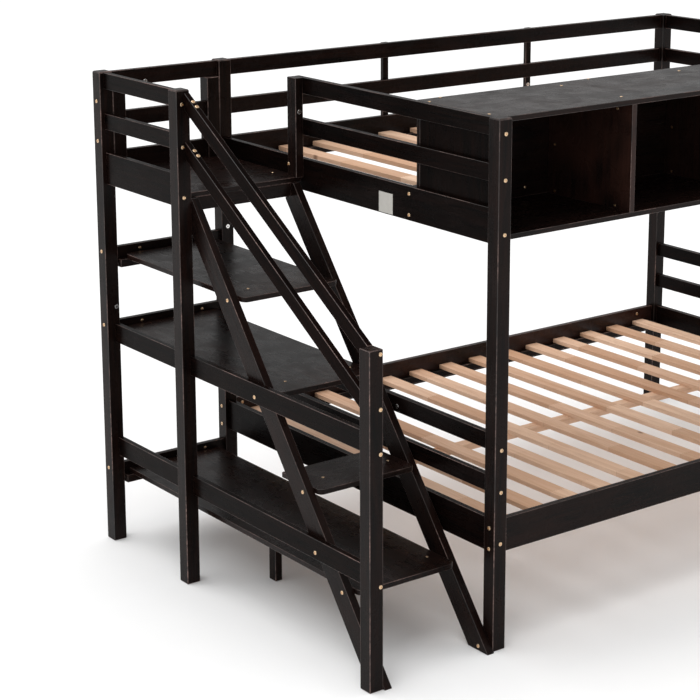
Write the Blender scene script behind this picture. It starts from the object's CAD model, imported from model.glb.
import math

import bmesh
import bpy
import numpy as np
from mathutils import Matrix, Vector


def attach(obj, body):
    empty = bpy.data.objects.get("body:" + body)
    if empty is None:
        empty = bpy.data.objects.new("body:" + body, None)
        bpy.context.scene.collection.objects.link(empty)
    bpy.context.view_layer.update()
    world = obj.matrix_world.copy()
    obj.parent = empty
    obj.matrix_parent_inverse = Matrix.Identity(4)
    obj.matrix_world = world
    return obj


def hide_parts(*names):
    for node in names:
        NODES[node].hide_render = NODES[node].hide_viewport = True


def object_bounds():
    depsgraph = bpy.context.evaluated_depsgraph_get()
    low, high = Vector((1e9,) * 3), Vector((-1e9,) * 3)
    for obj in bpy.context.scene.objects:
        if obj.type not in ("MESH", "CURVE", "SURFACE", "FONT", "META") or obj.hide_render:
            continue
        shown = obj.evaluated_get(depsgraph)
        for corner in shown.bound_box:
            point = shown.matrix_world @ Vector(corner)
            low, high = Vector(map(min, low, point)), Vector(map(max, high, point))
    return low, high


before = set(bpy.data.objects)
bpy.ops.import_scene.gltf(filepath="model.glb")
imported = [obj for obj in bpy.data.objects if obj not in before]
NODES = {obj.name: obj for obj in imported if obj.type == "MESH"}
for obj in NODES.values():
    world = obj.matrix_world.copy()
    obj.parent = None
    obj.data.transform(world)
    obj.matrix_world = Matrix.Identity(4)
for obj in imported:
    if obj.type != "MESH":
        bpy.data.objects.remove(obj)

bl_info = {
    "name": "Bunk bed with stair and bookcase",
    "version": (1, 0, 0),
    "blender": (4, 5, 0),
    "location": "3D View > Sidebar > Bunk bed",
    "description": "Dresses the bunk bed's boards, posts, slats and fittings and lights them",
    "category": "Object",
}

CAD_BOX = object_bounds()

# Which way the timber's grain runs in each piece.
POSTS = [
    "front_left_post", "front_right_post", "back_left_post", "back_right_post",
    "stair_back_post", "landing_corner_post", "stair_newel_post", "entry_post",
    "landing_stub_posts", "back_balusters", "shelf_centre_leg",
]
LONG_RAILS = [
    "upper_back_top_rail", "upper_back_middle_rail", "upper_back_bed_rail",
    "lower_front_bed_rail", "upper_inner_bed_rail", "upper_slat_ledgers", "lower_slat_ledgers",
    "landing_back_top_rail", "landing_back_middle_rail", "landing_back_rail",
    "landing_front_fascia", "shelf_back_rails", "shelf_back_cleats",
]
CROSS_RAILS = [
    "upper_left_end_bed_rail", "upper_right_end_bed_rail", "lower_left_end_bed_rail",
    "lower_right_end_bed_rail", "upper_left_end_guard_rails", "upper_right_end_guard_rails",
    "lower_left_end_guard_rails", "lower_right_end_guard_rails", "landing_side_guard_rails",
    "landing_side_rail", "stair_side_rails_rear", "stair_side_rails_front",
]
BOOKCASE_LONG = ["bookcase_top_board", "bookcase_bottom_board", "bookcase_back_panel"]
SHELVES = ["tread_1_bottom_shelf", "tread_3_middle_shelf", "tread_4"]
SHORT_TREADS = ["tread_2", "landing_deck"]
STRINGERS = ["left_stringer", "right_stringer"]


# ------------------------------------------------------------------ properties
def length_prop(name, description, default):
    return bpy.props.FloatProperty(
        name=name, description=description, default=default, min=0.0,
        unit="LENGTH", subtype="DISTANCE", precision=4)


def colour_prop(name, description, default):
    return bpy.props.FloatVectorProperty(
        name=name, description=description, default=default, size=3,
        min=0.0, max=1.0, subtype="COLOR")


class BUNKBED_PG_sizes(bpy.types.PropertyGroup):
    post_round: length_prop("Post arris", "Rounding on the long edges of the posts", 0.0020)
    board_round: length_prop(
        "Board arris", "Rounding on the edges of rails, treads and boards", 0.0014)
    slat_round: length_prop("Slat arris", "Rounding on the edges of the slats", 0.0016)
    bolt_recess: length_prop("Bolt recess", "Depth of the six-sided recess in a bolt head", 0.0016)
    floor_reach: length_prop("Floor reach", "How far the floor goes in each direction", 80.0)


class BUNKBED_PG_finishes(bpy.types.PropertyGroup):
    stain: colour_prop("Stain", "Darkest tone of the espresso stain", (0.0030, 0.0026, 0.0025))
    stain_red: colour_prop(
        "Stain glow", "Reddish brown where the stain is thin", (0.024, 0.0098, 0.0070))
    bare: colour_prop(
        "Rubbed edge", "Pale tone where the stain is rubbed off the arrises", (0.22, 0.135, 0.115))
    pine: colour_prop("Pine", "Bare planed pine", (0.93, 0.67, 0.49))
    pine_dark: colour_prop(
        "Pine heartwood", "Darker blocks and rings of the pine", (0.50, 0.255, 0.130))
    brass: colour_prop("Bolt plating", "Yellow plating of bolts and screws", (0.78, 0.56, 0.36))
    zinc: colour_prop("Nut plating", "Bright plating of the barrel nuts", (0.86, 0.85, 0.84))
    plate: colour_prop("Plate", "Plain blank plate on the end rail", (0.55, 0.53, 0.49))
    floor: colour_prop("Floor", "Plain pale floor", (0.93, 0.93, 0.93))


def sizes():
    return bpy.context.scene.bunkbed_sizes


def finishes():
    return bpy.context.scene.bunkbed_finishes


# ------------------------------------------------------------------ node helpers
class Wiring:
    """Adds and joins shader nodes in one tree."""

    def __init__(self, tree):
        self.tree = tree

    def add(self, kind, settings=None, **values):
        node = self.tree.nodes.new(kind)
        for key, value in (settings or {}).items():
            setattr(node, key, value)
        for key, value in values.items():
            self.feed(node, key.replace("_", " "), value)
        return node

    def feed(self, node, socket, value):
        target = node.inputs[socket]
        if isinstance(value, bpy.types.NodeSocket):
            self.tree.links.new(value, target)
        else:
            target.default_value = value

    def math(self, operation, a, b=0.0, clamp=False):
        node = self.tree.nodes.new("ShaderNodeMath")
        node.operation = operation
        node.use_clamp = clamp
        for i, value in enumerate((a, b)):
            self.feed(node, i, value)
        return node.outputs[0]

    def mix(self, factor, a, b):
        node = self.tree.nodes.new("ShaderNodeMix")
        node.data_type = "RGBA"
        self.feed(node, 0, factor)
        for i, value in ((6, a), (7, b)):
            is_socket = isinstance(value, bpy.types.NodeSocket)
            self.feed(node, i, value if is_socket else (*value[:3], 1.0))
        return node.outputs[2]

    def window(self, value, low, high, to_low=0.0, to_high=1.0):
        """Stretches the part of a value between low and high over a new range."""
        node = self.add(
            "ShaderNodeMapRange", {"clamp": True}, Value=value,
            From_Min=low, From_Max=high, To_Min=to_low, To_Max=to_high)
        return node.outputs[0]

    def noise(self, vector, scale, detail=3.0, rough=0.55, distort=0.0):
        node = self.add(
            "ShaderNodeTexNoise", Vector=vector,
            Scale=scale, Detail=detail, Roughness=rough, Distortion=distort)
        return node.outputs["Fac"]


def new_group(name, inputs, outputs):
    """A shader node group with named sockets, built once."""
    tree = bpy.data.node_groups.new(name, "ShaderNodeTree")
    for label, kind in inputs:
        tree.interface.new_socket(label, in_out="INPUT", socket_type=kind)
    for label, kind in outputs:
        tree.interface.new_socket(label, in_out="OUTPUT", socket_type=kind)
    w = Wiring(tree)
    return tree, w, w.add("NodeGroupInput"), w.add("NodeGroupOutput")


FLOAT, VECTOR = "NodeSocketFloat", "NodeSocketVector"
KNOT_BROWN = (0.16, 0.060, 0.024)


STREAK_SQUASH = 0.07
PORE_SQUASH = 0.022


def grain_group():
    """Streaks, pores and clouds of planed timber whose grain runs along the vector's X."""
    found = bpy.data.node_groups.get("Timber grain")
    if found:
        return found
    tree, w, enter, leave = new_group(
        "Timber grain", [("Vector", VECTOR), ("Board", FLOAT)],
        [("Streak", FLOAT), ("Pore", FLOAT), ("Cloud", FLOAT), ("Height", FLOAT)])
    # each board takes its own place in the pattern
    shift = w.add("ShaderNodeCombineXYZ")
    w.feed(shift, 0, w.math("MULTIPLY", enter.outputs["Board"], 7.0))
    w.feed(shift, 2, w.math("MULTIPLY", enter.outputs["Board"], 3.0))
    moved = w.add("ShaderNodeVectorMath", {"operation": "ADD"})
    w.feed(moved, 0, enter.outputs["Vector"])
    w.feed(moved, 1, shift.outputs[0])
    long = w.add("ShaderNodeMapping", Vector=moved.outputs[0], Scale=(STREAK_SQUASH, 1.0, 1.0))
    fine = w.add("ShaderNodeMapping", Vector=moved.outputs[0], Scale=(PORE_SQUASH, 1.0, 1.0))
    streak = w.noise(long.outputs[0], 55.0, 4.0, 0.6, 0.9)
    pore = w.noise(fine.outputs[0], 620.0, 2.0, 0.5)
    cloud = w.noise(moved.outputs[0], 5.0, 2.0, 0.5, 0.3)
    streak = w.window(streak, 0.32, 0.70)
    pore = w.window(pore, 0.52, 0.68)
    w.feed(leave, "Streak", streak)
    w.feed(leave, "Pore", pore)
    w.feed(leave, "Cloud", w.window(cloud, 0.34, 0.66))
    raised = w.math("MULTIPLY", streak, 0.5)
    sunk = w.math("MULTIPLY", pore, -0.7)
    w.feed(leave, "Height", w.math("ADD", raised, sunk))
    return tree


def rub_group():
    """Where handling and sanding have rubbed the stain off, in broken runs."""
    found = bpy.data.node_groups.get("Rubbed edge")
    if found:
        return found
    tree, w, enter, leave = new_group("Rubbed edge", [("Vector", VECTOR)], [("Rub", FLOAT)])
    broad = w.window(w.noise(enter.outputs["Vector"], 5.0, 3.0, 0.6), 0.42, 0.66)
    small = w.window(w.noise(enter.outputs["Vector"], 120.0, 3.0, 0.6), 0.30, 0.62)
    w.feed(leave, "Rub", w.math("MULTIPLY", broad, small, clamp=True))
    return tree


def dust_group():
    """Faint smears and dust that dull the lacquer unevenly."""
    found = bpy.data.node_groups.get("Lacquer haze")
    if found:
        return found
    tree, w, enter, leave = new_group(
        "Lacquer haze", [("Vector", VECTOR)], [("Haze", FLOAT), ("Speck", FLOAT)])
    haze = w.window(w.noise(enter.outputs["Vector"], 13.0, 4.0, 0.65, 0.4), 0.35, 0.72)
    speck = w.window(w.noise(enter.outputs["Vector"], 900.0, 1.0, 0.5), 0.70, 0.80)
    w.feed(leave, "Haze", haze)
    w.feed(leave, "Speck", speck)
    return tree


FINGER_PITCH = 0.0045
BLOCK_LENGTH = 0.31


def finger_group():
    """Finger-jointed stock along X: blocks of different tone, zigzag glue lines and a few knots."""
    found = bpy.data.node_groups.get("Finger jointed stock")
    if found:
        return found
    tree, w, enter, leave = new_group(
        "Finger jointed stock", [("Vector", VECTOR), ("Board", FLOAT)],
        [("Tone", FLOAT), ("Joint", FLOAT), ("Knot", FLOAT)])
    parts = w.add("ShaderNodeSeparateXYZ", Vector=enter.outputs["Vector"])
    # the fingers: a zigzag across the width, 9 mm from tip to tip and 9 mm long
    zig = w.math("PINGPONG", parts.outputs[1], FINGER_PITCH)
    along = w.math("ADD", parts.outputs[0], w.math("MULTIPLY", zig, 2.0))
    along = w.math("ADD", along, w.math("MULTIPLY", enter.outputs["Board"], 5.0))
    block = w.math("DIVIDE", along, BLOCK_LENGTH)
    cell = w.math("FLOOR", block)
    seed = w.add("ShaderNodeCombineXYZ")
    w.feed(seed, 0, cell)
    w.feed(seed, 1, w.math("MULTIPLY", enter.outputs["Board"], 91.0))
    white = w.add("ShaderNodeTexWhiteNoise", {"noise_dimensions": "3D"}, Vector=seed.outputs[0])
    part = w.math("FRACT", block)
    edge = w.math("MINIMUM", part, w.math("SUBTRACT", 1.0, part))
    w.feed(leave, "Tone", white.outputs["Value"])
    w.feed(leave, "Joint", w.window(edge, 0.0, 0.0030, 1.0, 0.0))
    knots = w.add("ShaderNodeMapping", Vector=enter.outputs["Vector"], Scale=(5.0, 9.0, 2.0))
    spots = w.add("ShaderNodeTexVoronoi", {"feature": "F1"}, Vector=knots.outputs[0], Scale=1.0)
    lot = w.add("ShaderNodeSeparateColor", Color=spots.outputs["Color"])
    pick = w.window(lot.outputs[0], 0.72, 0.76)
    size = w.window(spots.outputs["Distance"], 0.025, 0.075, 1.0, 0.0)
    w.feed(leave, "Knot", w.math("MULTIPLY", pick, size))
    return tree


def place_group(w, tree, **links):
    node = w.tree.nodes.new("ShaderNodeGroup")
    node.node_tree = tree
    for key, value in links.items():
        w.feed(node, key, value)
    return node


def new_material(name, slot):
    material = bpy.data.materials.new(name)
    material.use_nodes = True
    tree = material.node_tree
    tree.nodes.clear()
    w = Wiring(tree)
    out = w.add("ShaderNodeOutputMaterial")
    shader = w.add("ShaderNodeBsdfPrincipled")
    tree.links.new(shader.outputs[0], out.inputs["Surface"])
    material["bed_slot"] = slot
    return material, w, shader


# The turns that lay each way of the timber along X, taken one after the other.
QUARTER = math.pi / 2
ALONG_Y = (0.0, 0.0, -QUARTER)
WAYS = {
    "along": [(0.0, 0.0, 0.0)],
    "across": [ALONG_Y],
    "upright": [(0.0, QUARTER, 0.0)],
    "stringer": [(-math.atan(1.28), 0.0, 0.0), ALONG_Y],
    "handrail": [(-math.atan(0.67), 0.0, 0.0), ALONG_Y],
}


def turned(w, way):
    """Object coordinates turned so that the timber's length lies along X."""
    vector = w.add("ShaderNodeTexCoord").outputs["Object"]
    for turn in WAYS[way]:
        vector = w.add("ShaderNodeMapping", Vector=vector, Rotation=turn).outputs[0]
    return vector


def scaled(colour, share):
    """A colour made darker or lighter by a share."""
    return tuple(share * c for c in colour)


def bumped(w, shader, height, strength, distance):
    bump = w.add("ShaderNodeBump", Height=height, Strength=strength, Distance=distance)
    w.feed(shader, "Normal", bump.outputs[0])


# Each depth of stain: how strong its colour is, how much red shows through, and its sheen.
TONES = {
    "plain": (0.75, 0.75, 0.085), "shaded": (0.45, 0.5, 0.035), "thin": (1.5, 2.6, 0.16),
    "flat": (0.9, 0.75, 0.105), "handled": (0.55, 0.5, 0.012),
}


def espresso(way, tone_name="plain"):
    """Stained and lacquered timber with its grain running one way, in one depth of stain."""
    depth, glow, shine = TONES[tone_name]
    name = "Espresso %s %s" % (tone_name, way)
    found = bpy.data.materials.get(name)
    if found:
        return found
    f = finishes()
    material, w, shader = new_material(name, "dark_stained_pine")
    vector = turned(w, way)
    board = w.add("ShaderNodeNewGeometry").outputs["Random Per Island"]
    grain = place_group(w, grain_group(), Vector=vector, Board=board)
    haze = place_group(w, dust_group(), Vector=vector)
    warm = w.math("MULTIPLY", grain.outputs["Cloud"], w.window(board, 0.0, 1.0, 0.35, 0.95))
    dark, red = scaled(f.stain, depth), scaled(f.stain_red, depth)
    tone = w.mix(w.math("MULTIPLY", warm, 0.55 * glow, clamp=True), dark, red)
    tone = w.mix(w.math("MULTIPLY", grain.outputs["Streak"], 0.50), tone, scaled(red, 1.1))
    tone = w.mix(w.math("MULTIPLY", grain.outputs["Pore"], 0.70), tone, scaled(dark, 0.3))
    tone = w.mix(w.math("MULTIPLY", haze.outputs["Speck"], 0.10), tone, f.bare)
    w.feed(shader, "Base Color", tone)
    rough = w.window(haze.outputs["Haze"], 0.0, 1.0, 0.22, 0.36)
    rough = w.math("ADD", rough, w.math("MULTIPLY", grain.outputs["Pore"], 0.10))
    w.feed(shader, "Roughness", rough)
    shader.inputs["Specular IOR Level"].default_value = shine
    bumped(w, shader, grain.outputs["Height"], 0.22, 0.0006)
    return material


def rubbed(way):
    """The arrises, where the stain is rubbed thin or away."""
    name = "Rubbed arris %s" % way
    found = bpy.data.materials.get(name)
    if found:
        return found
    f = finishes()
    material, w, shader = new_material(name, "dark_stained_pine")
    vector = turned(w, way)
    board = w.add("ShaderNodeNewGeometry").outputs["Random Per Island"]
    grain = place_group(w, grain_group(), Vector=vector, Board=board)
    rub = place_group(w, rub_group(), Vector=vector)
    tone = w.mix(w.math("MULTIPLY", grain.outputs["Streak"], 0.6), f.stain, f.stain_red)
    w.feed(shader, "Base Color", w.mix(rub.outputs["Rub"], tone, f.bare))
    w.feed(shader, "Roughness", w.window(rub.outputs["Rub"], 0.0, 1.0, 0.34, 0.55))
    bumped(w, shader, grain.outputs["Height"], 0.12, 0.0004)
    return material


def pale_pine(way):
    """Bare finger-jointed pine of the slats and the centre beam."""
    name = "Bare pine %s" % way
    found = bpy.data.materials.get(name)
    if found:
        return found
    f = finishes()
    material, w, shader = new_material(name, "pale_pine")
    vector = turned(w, way)
    board = w.add("ShaderNodeNewGeometry").outputs["Random Per Island"]
    grain = place_group(w, grain_group(), Vector=vector, Board=board)
    joint = place_group(w, finger_group(), Vector=vector, Board=board)
    tone = w.mix(w.window(joint.outputs["Tone"], 0.0, 1.0, 0.0, 0.72), f.pine, f.pine_dark)
    tone = w.mix(w.math("MULTIPLY", grain.outputs["Streak"], 0.50), tone, f.pine_dark)
    tone = w.mix(w.math("MULTIPLY", grain.outputs["Pore"], 0.16), tone, scaled(f.pine_dark, 0.6))
    tone = w.mix(w.math("MULTIPLY", joint.outputs["Joint"], 0.55), tone, scaled(f.pine_dark, 0.45))
    tone = w.mix(w.math("MULTIPLY", joint.outputs["Knot"], 0.8), tone, KNOT_BROWN)
    w.feed(shader, "Base Color", tone)
    w.feed(shader, "Roughness", w.window(grain.outputs["Streak"], 0.0, 1.0, 0.56, 0.70))
    bumped(w, shader, grain.outputs["Height"], 0.22, 0.0005)
    return material


def plated(name, slot, colour, low, high):
    """Plated steel with fine scratches and a little tarnish."""
    found = bpy.data.materials.get(name)
    if found:
        return found
    material, w, shader = new_material(name, slot)
    coords = w.add("ShaderNodeTexCoord").outputs["Object"]
    tarnish = w.window(w.noise(coords, 240.0, 3.0, 0.6), 0.35, 0.70)
    scratch = w.window(w.noise(coords, 2600.0, 2.0, 0.6), 0.45, 0.70)
    dulled = w.mix(w.math("MULTIPLY", tarnish, 0.45), colour, scaled(colour, 0.62))
    w.feed(shader, "Base Color", dulled)
    w.feed(shader, "Roughness", w.window(scratch, 0.0, 1.0, low, high))
    shader.inputs["Metallic"].default_value = 1.0
    bumped(w, shader, scratch, 0.08, 0.0001)
    return material


def blank_plate():
    f = finishes()
    material, w, shader = new_material("Blank plate", "plain_plate")
    coords = w.add("ShaderNodeTexCoord").outputs["Object"]
    mottle = w.window(w.noise(coords, 70.0, 3.0, 0.6), 0.35, 0.70)
    tone = w.mix(w.math("MULTIPLY", mottle, 0.5), f.plate, scaled(f.plate, 0.86))
    w.feed(shader, "Base Color", tone)
    w.feed(shader, "Roughness", w.window(mottle, 0.0, 1.0, 0.38, 0.52))
    bumped(w, shader, mottle, 0.05, 0.0002)
    return material


# ------------------------------------------------------------------ pieces
SAME_PLANE = 2e-5            # metres: points this close to a plane lie in it
ARRIS_ANGLE = math.radians(34)
RING_STEPS = 24


def solids(name):
    """The separate solids of a node: its points, and the triangles that each solid has."""
    mesh = NODES[name].data
    mesh.calc_loop_triangles()
    points = np.array([v.co for v in mesh.vertices], float)
    keys, index = np.unique(np.round(points, 6), axis=0, return_inverse=True)
    index = index.ravel()
    corners = np.array([[index[v] for v in t.vertices] for t in mesh.loop_triangles])
    parent = list(range(len(keys)))

    def root(i):
        while parent[i] != i:
            parent[i] = parent[parent[i]]
            i = parent[i]
        return i

    for a, b, c in corners:
        parent[root(b)] = root(a)
        parent[root(c)] = root(a)
    roots = np.array([root(a) for a in corners[:, 0]])
    return [(keys, corners[roots == r]) for r in np.unique(roots)]


def end_outline(keys, corners, axis, level):
    """The outline of the flat end at one level, without its drilled holes, and its area."""
    flat = corners[np.all(np.abs(keys[corners][:, :, axis] - level) < SAME_PLANE, axis=1)]
    edges = {(a, b) for t in flat for a, b in zip(t, np.roll(t, -1))}
    after = {a: b for a, b in edges if (b, a) not in edges}
    u, v = [k for k in range(3) if k != axis]
    best, most = None, 0.0
    while after:
        start, here = next(iter(after.items()))
        del after[start]
        loop = [start]
        while here != start and here in after:
            loop.append(here)
            here = after.pop(here)
        ring = keys[loop]
        across, along = ring[:, u], ring[:, v]
        area = 0.5 * np.sum(across * np.roll(along, -1) - np.roll(across, -1) * along)
        if abs(area) > abs(most):
            best, most = ring, area
    if best is None:
        return None, 0.0
    ahead, behind = np.roll(best, -1, 0) - best, best - np.roll(best, 1, 0)
    ahead /= np.linalg.norm(ahead, axis=1)[:, None]
    behind /= np.linalg.norm(behind, axis=1)[:, None]
    best = best[np.sum(ahead * behind, axis=1) < 0.99995]
    if most < 0:
        best = best[::-1]
    return best, abs(most)


def undrilled(keys, corners):
    """Rings of points that rebuild a straight-sided solid without its bolt holes, or None."""
    tri = keys[corners]
    volume = abs(np.sum(tri[:, 0] * np.cross(tri[:, 1], tri[:, 2]))) / 6
    low, high = tri.min((0, 1)), tri.max((0, 1))
    choice = None
    for axis in (2, 0, 1):
        ends = [end_outline(keys, corners, axis, level) for level in (low[axis], high[axis])]
        area = max(e[1] for e in ends)
        gap = area * (high[axis] - low[axis]) / volume - 1
        straight = min(e[1] for e in ends) > area * 0.6 and -0.004 < gap < 0.05
        if straight and (choice is None or gap < choice[0] - 0.002):
            choice = (gap, axis, ends, area)
    if choice is None:
        return None
    axis, ends, area = choice[1:]
    big = ends[0][0] if ends[0][1] >= ends[1][1] else ends[1][0]
    rings = []
    for end, (ring, size) in enumerate(ends):
        level = (low, high)[end][axis]
        full = big.copy()
        full[:, axis] = level
        if size < area * 0.9995 and len(ring) == len(big):
            cut = (np.ptp(big, axis=0) - np.ptp(ring, axis=0)).max() / 2
            near = [ring[np.argmin(np.linalg.norm(ring - p, axis=1))] for p in full]
            full[:, axis] += -cut if end else cut
            rings += [full, np.array(near)] if end else [np.array(near), full]
        else:
            rings.append(full)
    return rings


def dress(names, body, arris, width):
    """Gives a node its timber and rounds its edges with a band of the arris finish."""
    for name in names:
        mesh = bmesh.new()
        for keys, corners in solids(name):
            rings = undrilled(keys, corners)
            if rings is None:
                made = {i: mesh.verts.new(keys[i]) for i in np.unique(corners)}
                for t in corners:
                    mesh.faces.new([made[i] for i in t])
                continue
            made = [[mesh.verts.new(p) for p in ring] for ring in rings]
            for lower, upper in zip(made, made[1:]):
                for i in range(len(lower)):
                    j = (i + 1) % len(lower)
                    mesh.faces.new((lower[i], lower[j], upper[j], upper[i]))
            mesh.faces.new(list(reversed(made[0])))
            mesh.faces.new(made[-1])
        bmesh.ops.recalc_face_normals(mesh, faces=mesh.faces[:])
        data = bpy.data.meshes.new(name + "_dressed")
        mesh.to_mesh(data)
        mesh.free()
        data.polygons.foreach_set("use_smooth", [True] * len(data.polygons))
        data.materials.append(body)
        data.materials.append(arris)
        piece = bpy.data.objects.new(name + "_dressed", data)
        bpy.context.scene.collection.objects.link(piece)
        bevel = piece.modifiers.new("Rounded arris", "BEVEL")
        bevel.width = width
        bevel.segments = 2
        bevel.limit_method = "ANGLE"
        bevel.angle_limit = ARRIS_ANGLE
        bevel.material = 1
        smooth = piece.modifiers.new("Even shading", "WEIGHTED_NORMAL")
        smooth.keep_sharp = False
        smooth.weight = 60
        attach(piece, "root")
        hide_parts(name)


def timber(names, way, width, tone="plain"):
    """Dresses nodes as stained timber whose grain runs one way."""
    dress(names, espresso(way, tone), rubbed(way), width)


def head_frames(name):
    """For each fitting of a node: its outer face's centre, its outward direction and radius."""
    found = []
    for keys, corners in solids(name):
        tri = keys[corners]
        normal = np.cross(tri[:, 1] - tri[:, 0], tri[:, 2] - tri[:, 0])
        area = np.linalg.norm(normal, axis=1)
        whole = area > 1e-12
        tri, normal, area = tri[whole], normal[whole], area[whole]
        normal /= area[:, None]
        offset = np.sum(normal * tri[:, 0], axis=1)
        best = None
        for n, o in zip(normal, offset):
            same = (normal @ n > 0.9999) & (np.abs(offset - o) < SAME_PLANE)
            # of two equal ends, the one that looks to the left, front or floor is the outer one
            score = area[same].sum() * (1.0 - 0.01 * n.sum())
            if best is None or score > best[0]:
                best = (score, n, np.unique(tri[same].reshape(-1, 3), axis=0))
        _, outward, ring = best
        centre = (ring.min(0) + ring.max(0)) / 2
        found.append((centre, outward, np.linalg.norm(ring - centre, axis=1).max()))
    return found


# The outlines of the recesses: the share of the full reach at each angle.
def six_sided(angle):
    return math.cos(math.pi / 6) / math.cos((angle % (math.pi / 3)) - math.pi / 6)


def crossed(angle):
    turn = abs(((angle + math.pi / 4) % (math.pi / 2)) - math.pi / 4)
    return 1.0 if turn < 0.14 else 0.34


def round_hole(angle):
    return 1.0


def turned_head(name, node, profile, outline, recess, material, spins):
    """One piece holding a turned head with a recess for every fitting of a node.

    profile lists (share of radius, height above the seat); recess is (share of radius, depth).
    """
    mesh = bmesh.new()
    for number, (centre, outward, radius) in enumerate(head_frames(node)):
        axis = Vector(outward)
        side = axis.orthogonal().normalized()
        up = axis.cross(side)
        spin = spins * ((number * 0.618) % 1.0)
        rings = []
        top = profile[-1][1]
        shapes = [(share, height, None) for share, height in profile]
        shapes += [(recess[0], top, outline), (recess[0] * 0.94, top - recess[1], outline)]
        for share, height, shape in shapes:
            ring = []
            for i in range(RING_STEPS):
                angle = 2 * math.pi * i / RING_STEPS
                reach = radius * share * (shape(angle) if shape else 1.0)
                turn = angle + spin
                offset = side * math.cos(turn) * reach + up * math.sin(turn) * reach
                point = Vector(centre) + offset + axis * (height - top)
                ring.append(mesh.verts.new(point))
            rings.append(ring)
        for low, high in zip(rings, rings[1:]):
            for i in range(RING_STEPS):
                j = (i + 1) % RING_STEPS
                mesh.faces.new((low[i], low[j], high[j], high[i]))
        mesh.faces.new(rings[-1])
        mesh.faces.new(list(reversed(rings[0])))
    data = bpy.data.meshes.new(name)
    bmesh.ops.recalc_face_normals(mesh, faces=mesh.faces[:])
    mesh.to_mesh(data)
    mesh.free()
    piece = bpy.data.objects.new(name, data)
    bpy.context.scene.collection.objects.link(piece)
    data.materials.append(material)
    for face in data.polygons:
        face.use_smooth = True
    data.set_sharp_from_angle(angle=math.radians(40))
    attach(piece, "root")
    return piece


# ------------------------------------------------------------------ operators
class BedOperator:
    bl_options = {"REGISTER", "UNDO"}


class BUNKBED_OT_posts(BedOperator, bpy.types.Operator):
    """Stain and round the posts, legs and balusters"""
    bl_idname = "bunkbed.posts"
    bl_label = "Posts"

    def execute(self, context):
        timber(POSTS, "upright", sizes().post_round)
        return {"FINISHED"}


class BUNKBED_OT_long_rails(BedOperator, bpy.types.Operator):
    """Stain and round the rails that run along the bed"""
    bl_idname = "bunkbed.long_rails"
    bl_label = "Long rails"

    def execute(self, context):
        timber(LONG_RAILS, "along", sizes().board_round)
        timber(["lower_back_bed_rail"], "along", sizes().board_round, "thin")
        return {"FINISHED"}


class BUNKBED_OT_cross_rails(BedOperator, bpy.types.Operator):
    """Stain and round the end rails, guard rails and stair side rails"""
    bl_idname = "bunkbed.cross_rails"
    bl_label = "Cross rails"

    def execute(self, context):
        timber(CROSS_RAILS, "across", sizes().board_round, "shaded")
        return {"FINISHED"}


class BUNKBED_OT_bookcase(BedOperator, bpy.types.Operator):
    """Stain and round the bookcase's boards"""
    bl_idname = "bunkbed.bookcase"
    bl_label = "Bookcase"

    def execute(self, context):
        timber(BOOKCASE_LONG, "along", sizes().board_round, "flat")
        timber(["bookcase_left_side"], "upright", sizes().board_round, "shaded")
        timber(["bookcase_right_side", "bookcase_dividers"], "upright", sizes().board_round, "thin")
        return {"FINISHED"}


class BUNKBED_OT_stair(BedOperator, bpy.types.Operator):
    """Stain and round the treads, shelves, stringers and handrails"""
    bl_idname = "bunkbed.stair"
    bl_label = "Stair"

    def execute(self, context):
        timber(SHELVES, "across", sizes().board_round, "flat")
        timber(SHORT_TREADS, "along", sizes().board_round, "flat")
        timber(STRINGERS, "stringer", sizes().board_round)
        timber(["upper_handrail", "lower_handrail"], "handrail", sizes().board_round, "handled")
        return {"FINISHED"}


class BUNKBED_OT_slats(BedOperator, bpy.types.Operator):
    """Bare pine for the slats and the centre beam"""
    bl_idname = "bunkbed.slats"
    bl_label = "Slats"

    def execute(self, context):
        pine = pale_pine("across")
        dress(["lower_slats", "upper_slats"], pine, pine, sizes().slat_round)
        beam = pale_pine("along")
        dress(["lower_centre_beam"], beam, beam, sizes().slat_round)
        return {"FINISHED"}


class BUNKBED_OT_bolts(BedOperator, bpy.types.Operator):
    """Turned bolt heads with a six-sided recess"""
    bl_idname = "bunkbed.bolts"
    bl_label = "Bolts"

    def execute(self, context):
        brass = plated("Yellow plated steel", "brass_hardware", finishes().brass, 0.24, 0.42)
        profile = [(1.0, 0.0), (1.0, 0.0009), (0.95, 0.0016), (0.84, 0.0021), (0.70, 0.0024)]
        recess = (0.46, sizes().bolt_recess)
        heads = turned_head("bolt_heads", "bolts", profile, six_sided, recess, brass, 1.0)
        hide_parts("bolts")
        return {"FINISHED"}


class BUNKBED_OT_screws(BedOperator, bpy.types.Operator):
    """Low screw heads with a crossed recess"""
    bl_idname = "bunkbed.screws"
    bl_label = "Wood screws"

    def execute(self, context):
        brass = plated("Yellow plated steel", "brass_hardware", finishes().brass, 0.24, 0.42)
        profile = [(1.0, 0.0), (0.98, 0.0005), (0.86, 0.0009), (0.70, 0.0012)]
        recess = (0.56, 0.0009)
        heads = turned_head("screw_heads", "wood_screws", profile, crossed, recess, brass, 1.5)
        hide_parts("wood_screws")
        return {"FINISHED"}


class BUNKBED_OT_nuts(BedOperator, bpy.types.Operator):
    """Barrel nuts seen end-on, each with its centre hole"""
    bl_idname = "bunkbed.nuts"
    bl_label = "Barrel nuts"

    def execute(self, context):
        zinc = plated("Bright plated steel", "zinc_nuts", finishes().zinc, 0.22, 0.40)
        profile = [(1.0, -0.0015), (1.0, 0.0002), (0.95, 0.0006)]
        hole = (0.34, 0.0016)
        discs = turned_head(
            "barrel_nut_faces", "barrel_nuts", profile, round_hole, hole, zinc, 0.0)
        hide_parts("barrel_nuts")
        return {"FINISHED"}


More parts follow.
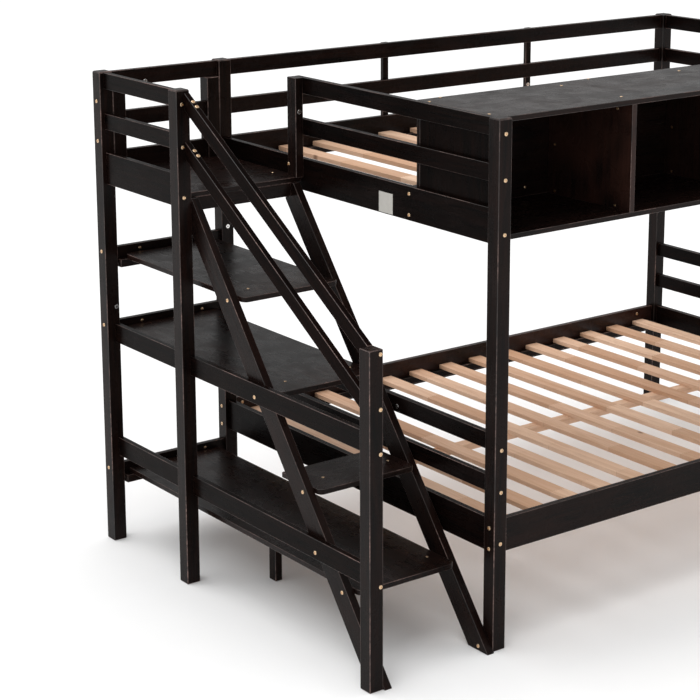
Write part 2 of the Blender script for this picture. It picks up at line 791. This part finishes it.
class BUNKBED_OT_plate(BedOperator, bpy.types.Operator):
    """The plain blank plate on the end rail"""
    bl_idname = "bunkbed.plate"
    bl_label = "Blank plate"

    def execute(self, context):
        plain = blank_plate()
        dress(["blank_notice_plate"], plain, plain, 0.0003)
        return {"FINISHED"}


# The stage: metres, degrees and watts.
WORLD_STRENGTH = 0.54
SKY_STRENGTH, SKY_SPREAD, SKY_TILT = 2.3, 75, (-12, -16)
SOFTBOXES = [
    ("front_left_softbox", (-4.6, -4.6, 3.6), 3.5, 50.0),
    ("right_softbox", (5.5, -2.5, 3.0), 3.0, 40.0),
]
CAMERA_AT = (-3.4305, -4.0022, 2.4446)
CAMERA_HEADING, CAMERA_PITCH = 52.771, 13.346
CAMERA_LENS, CAMERA_SHIFT = 102.33, (-0.05, -0.157)


class BUNKBED_OT_stage(BedOperator, bpy.types.Operator):
    """Pale floor, soft studio light and the camera"""
    bl_idname = "bunkbed.stage"
    bl_label = "Stage"

    def execute(self, context):
        scene = context.scene
        f = finishes()
        reach = sizes().floor_reach
        data = bpy.data.meshes.new("pale_floor")
        corners = [(x * reach, y * reach, -0.0005) for x, y in ((-1, -1), (1, -1), (1, 1), (-1, 1))]
        data.from_pydata(corners, [], [(0, 1, 2, 3)])
        floor = bpy.data.objects.new("pale_floor", data)
        scene.collection.objects.link(floor)
        material, w, shader = new_material("Pale floor", "floor")
        coords = w.add("ShaderNodeTexCoord").outputs["Object"]
        mottle = w.window(w.noise(coords, 3.0, 3.0, 0.6), 0.3, 0.7)
        w.feed(shader, "Base Color", w.mix(mottle, f.floor, scaled(f.floor, 0.985)))
        shader.inputs["Roughness"].default_value = 0.9
        shader.inputs["Specular IOR Level"].default_value = 0.1
        data.materials.append(material)

        world = bpy.data.worlds.new("studio")
        scene.world = world
        world.use_nodes = True
        backdrop = world.node_tree.nodes["Background"]
        backdrop.inputs[0].default_value = (1.0, 1.0, 1.0, 1.0)
        backdrop.inputs[1].default_value = WORLD_STRENGTH

        low, high = CAD_BOX
        middle = (low + high) / 2
        sky = bpy.data.lights.new("overhead_sky", "SUN")
        sky.energy = SKY_STRENGTH
        sky.angle = math.radians(SKY_SPREAD)
        high_up = bpy.data.objects.new("overhead_sky", sky)
        scene.collection.objects.link(high_up)
        high_up.location = (middle.x, middle.y, 8.0)
        high_up.rotation_euler = (*map(math.radians, SKY_TILT), 0.0)
        for name, at, size, power in SOFTBOXES:
            lamp = bpy.data.lights.new(name, "AREA")
            lamp.shape = "SQUARE"
            lamp.size = size
            lamp.energy = power
            holder = bpy.data.objects.new(name, lamp)
            scene.collection.objects.link(holder)
            holder.location = Vector((middle.x + at[0], middle.y + at[1], at[2]))
            aim = Vector((middle.x, middle.y, middle.z)) - holder.location
            holder.rotation_mode = "QUATERNION"
            holder.rotation_quaternion = aim.to_track_quat("-Z", "Y")

        lens = bpy.data.cameras.new("camera")
        camera = bpy.data.objects.new("camera", lens)
        scene.collection.objects.link(camera)
        lens.sensor_width = 36.0
        lens.lens = CAMERA_LENS
        lens.shift_x, lens.shift_y = CAMERA_SHIFT
        lens.clip_start = 0.1
        lens.clip_end = 400.0
        camera.location = CAMERA_AT
        heading, pitch = math.radians(CAMERA_HEADING), math.radians(CAMERA_PITCH)
        level = math.cos(pitch)
        forward = Vector((math.cos(heading) * level, math.sin(heading) * level, -math.sin(pitch)))
        camera.rotation_mode = "QUATERNION"
        camera.rotation_quaternion = forward.to_track_quat("-Z", "Y")
        scene.camera = camera
        scene.view_settings.view_transform = "Standard"
        return {"FINISHED"}


PIECES = (
    BUNKBED_OT_posts, BUNKBED_OT_long_rails, BUNKBED_OT_cross_rails, BUNKBED_OT_bookcase,
    BUNKBED_OT_stair, BUNKBED_OT_slats, BUNKBED_OT_bolts, BUNKBED_OT_screws, BUNKBED_OT_nuts,
    BUNKBED_OT_plate, BUNKBED_OT_stage,
)


class BUNKBED_PT_panel(bpy.types.Panel):
    """Sizes, finishes and pieces of the bunk bed"""
    bl_idname = "BUNKBED_PT_panel"
    bl_label = "Bunk bed"
    bl_space_type = "VIEW_3D"
    bl_region_type = "UI"
    bl_category = "Bunk bed"

    def draw(self, context):
        layout = self.layout
        for group in (context.scene.bunkbed_sizes, context.scene.bunkbed_finishes):
            box = layout.box()
            for key in group.__annotations__:
                box.prop(group, key)
        for piece in PIECES:
            layout.operator(piece.bl_idname)


CLASSES = (BUNKBED_PG_sizes, BUNKBED_PG_finishes, *PIECES, BUNKBED_PT_panel)


def register():
    for item in CLASSES:
        bpy.utils.register_class(item)
    bpy.types.Scene.bunkbed_sizes = bpy.props.PointerProperty(type=BUNKBED_PG_sizes)
    bpy.types.Scene.bunkbed_finishes = bpy.props.PointerProperty(type=BUNKBED_PG_finishes)


def unregister():
    del bpy.types.Scene.bunkbed_finishes
    del bpy.types.Scene.bunkbed_sizes
    for item in reversed(CLASSES):
        bpy.utils.unregister_class(item)


def main():
    register()
    for piece in PIECES:
        group, name = piece.bl_idname.split(".")
        result = getattr(getattr(bpy.ops, group), name)()
        if result != {"FINISHED"}:
            raise RuntimeError(piece.bl_label)


if __name__ == "__main__":
    main()
